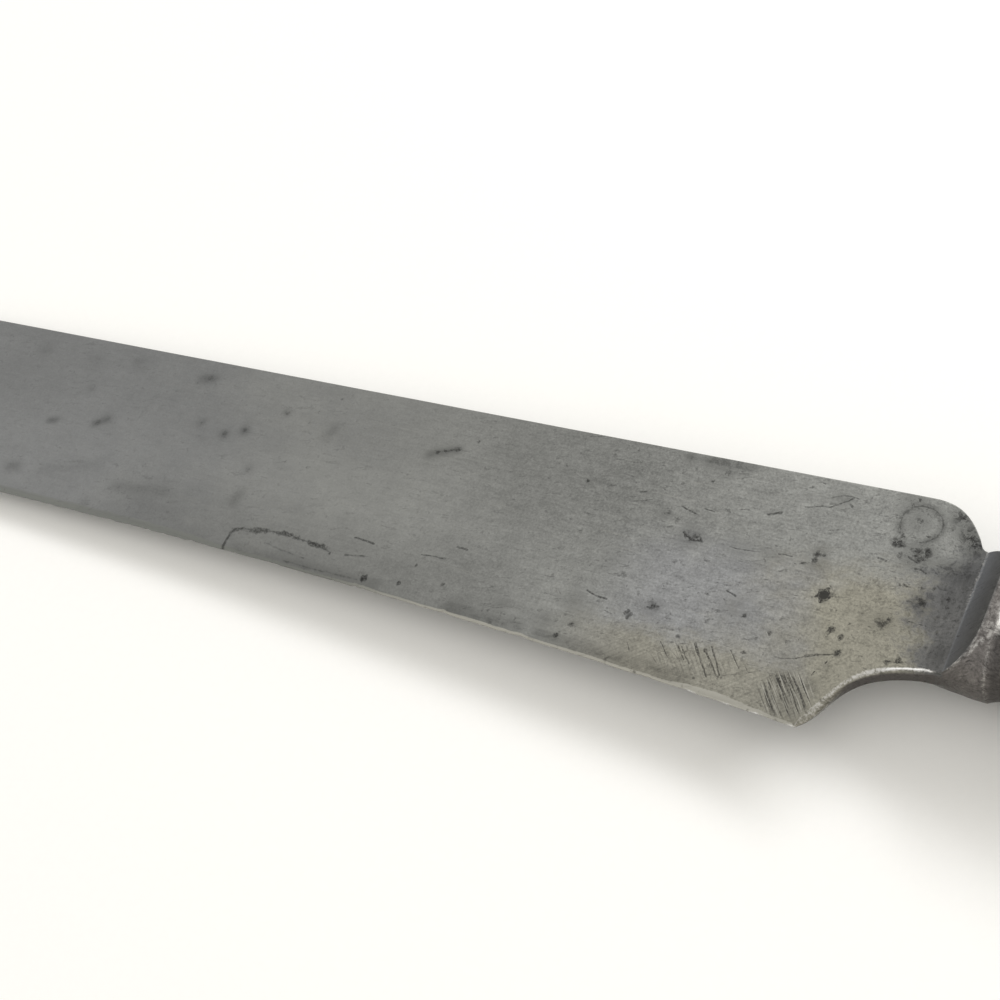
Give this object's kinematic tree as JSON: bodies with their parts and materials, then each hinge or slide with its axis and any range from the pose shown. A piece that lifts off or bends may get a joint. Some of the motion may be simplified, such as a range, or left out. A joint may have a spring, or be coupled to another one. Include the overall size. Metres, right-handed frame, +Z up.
{
  "type": "kitchen knife",
  "caption": "Old forged kitchen knife: broad straight carbon-steel blade with a rounded point, S-shaped choil, fluted bolster, full tang and a riveted dark wooden handle.",
  "frame": {"origin": "under the middle of the whole knife, on the table that it lies on", "axes": "+Z up from the table, +X along the knife from the tip towards the butt, +Y from the cutting edge towards the spine. The knife lies on its side as it comes to rest: on its tip and on the front of its back scale, so its length rises 1.76 degrees towards the butt"},
  "size_m": [0.3336, 0.0324, 0.0176],
  "materials": {
    "forged_steel": "grey satin patina with pits and honing scratches",
    "scale_wood": "dark oiled hardwood, worn smooth",
    "rivet_brass": "tarnished, filed flush"
  },
  "bodies": {
    "root": {"blade": "forged_steel", "scale_front": "scale_wood", "scale_back": "scale_wood", "rivet_pin_1": "rivet_brass", "rivet_pin_2": "rivet_brass", "rivet_pin_3": "rivet_brass", "burr_front_1": "rivet_brass", "burr_front_2": "rivet_brass", "burr_front_3": "rivet_brass", "burr_back_1": "rivet_brass", "burr_back_2": "rivet_brass", "burr_back_3": "rivet_brass"}
  },
  "joints": []
}
